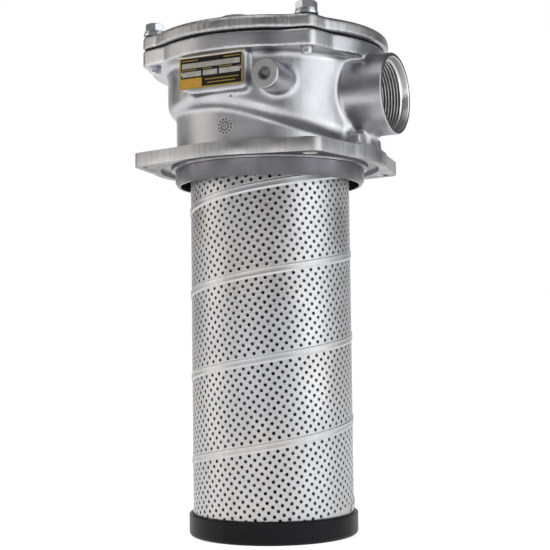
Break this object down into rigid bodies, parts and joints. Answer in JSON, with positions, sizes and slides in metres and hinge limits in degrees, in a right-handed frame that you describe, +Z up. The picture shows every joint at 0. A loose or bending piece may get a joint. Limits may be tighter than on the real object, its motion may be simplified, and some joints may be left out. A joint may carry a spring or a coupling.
{
  "type": "tank top return line filter",
  "caption": "Return filter with a cast head that bolts to a tank roof, a threaded side inlet, a bolted cover and a long perforated element that hangs in the tank.",
  "frame": {"origin": "centre of the tank flange's underside, on the element's axis", "axes": "+Z up along the element's axis, away from the tank; +X along the inlet port's axis, out of its mouth; the nameplate faces -Y"},
  "size_m": [0.1856, 0.174, 0.3608],
  "materials": {
    "cast_aluminium": "as cast, with machined faces",
    "cover_aluminium": "as cast",
    "black_rubber": "matt",
    "zinc_steel": "zinc plated",
    "washer_steel": "zinc plated",
    "spring_steel": "zinc plated",
    "plug_steel": "satin",
    "nameplate_foil": "printed, satin",
    "pin_aluminium": "satin",
    "tinned_steel": "bright, perforated",
    "core_steel": "satin",
    "filter_media": "matt, pleated",
    "black_cap": "semi-gloss black",
    "valve_steel": "zinc plated"
  },
  "bodies": {
    "filter": {"head_casting": "cast_aluminium", "cover": "cover_aluminium", "cover_seal": "black_rubber", "cover_bolt_1": "zinc_steel", "cover_bolt_2": "zinc_steel", "cover_bolt_3": "zinc_steel", "cover_bolt_4": "zinc_steel", "plain_washer_1": "washer_steel", "plain_washer_2": "washer_steel", "plain_washer_3": "washer_steel", "plain_washer_4": "washer_steel", "lock_washer_1": "spring_steel", "lock_washer_2": "spring_steel", "lock_washer_3": "spring_steel", "lock_washer_4": "spring_steel", "gauge_port_plug": "plug_steel", "nameplate": "nameplate_foil", "nameplate_pin_1": "pin_aluminium", "nameplate_pin_2": "pin_aluminium", "element_tube": "tinned_steel", "lock_seam": "tinned_steel", "element_core": "core_steel", "filter_pack": "filter_media", "upper_cap": "black_cap", "lower_cap": "black_cap", "element_ring": "black_rubber", "hold_down_spring": "spring_steel", "bypass_spring": "spring_steel"},
    "bypass_poppet": {"bypass_disc": "valve_steel", "bypass_washer": "black_rubber", "bypass_retainer": "washer_steel"}
  },
  "joints": [
    {"name": "bypass_lift", "type": "slide", "parent": "filter", "child": "bypass_poppet", "axis": [0, 0, -1], "range_m": [0, 0.006], "stiffness_N_per_m": 4000, "springref_m": -0.004, "deforming": ["bypass_spring"]}
  ]
}
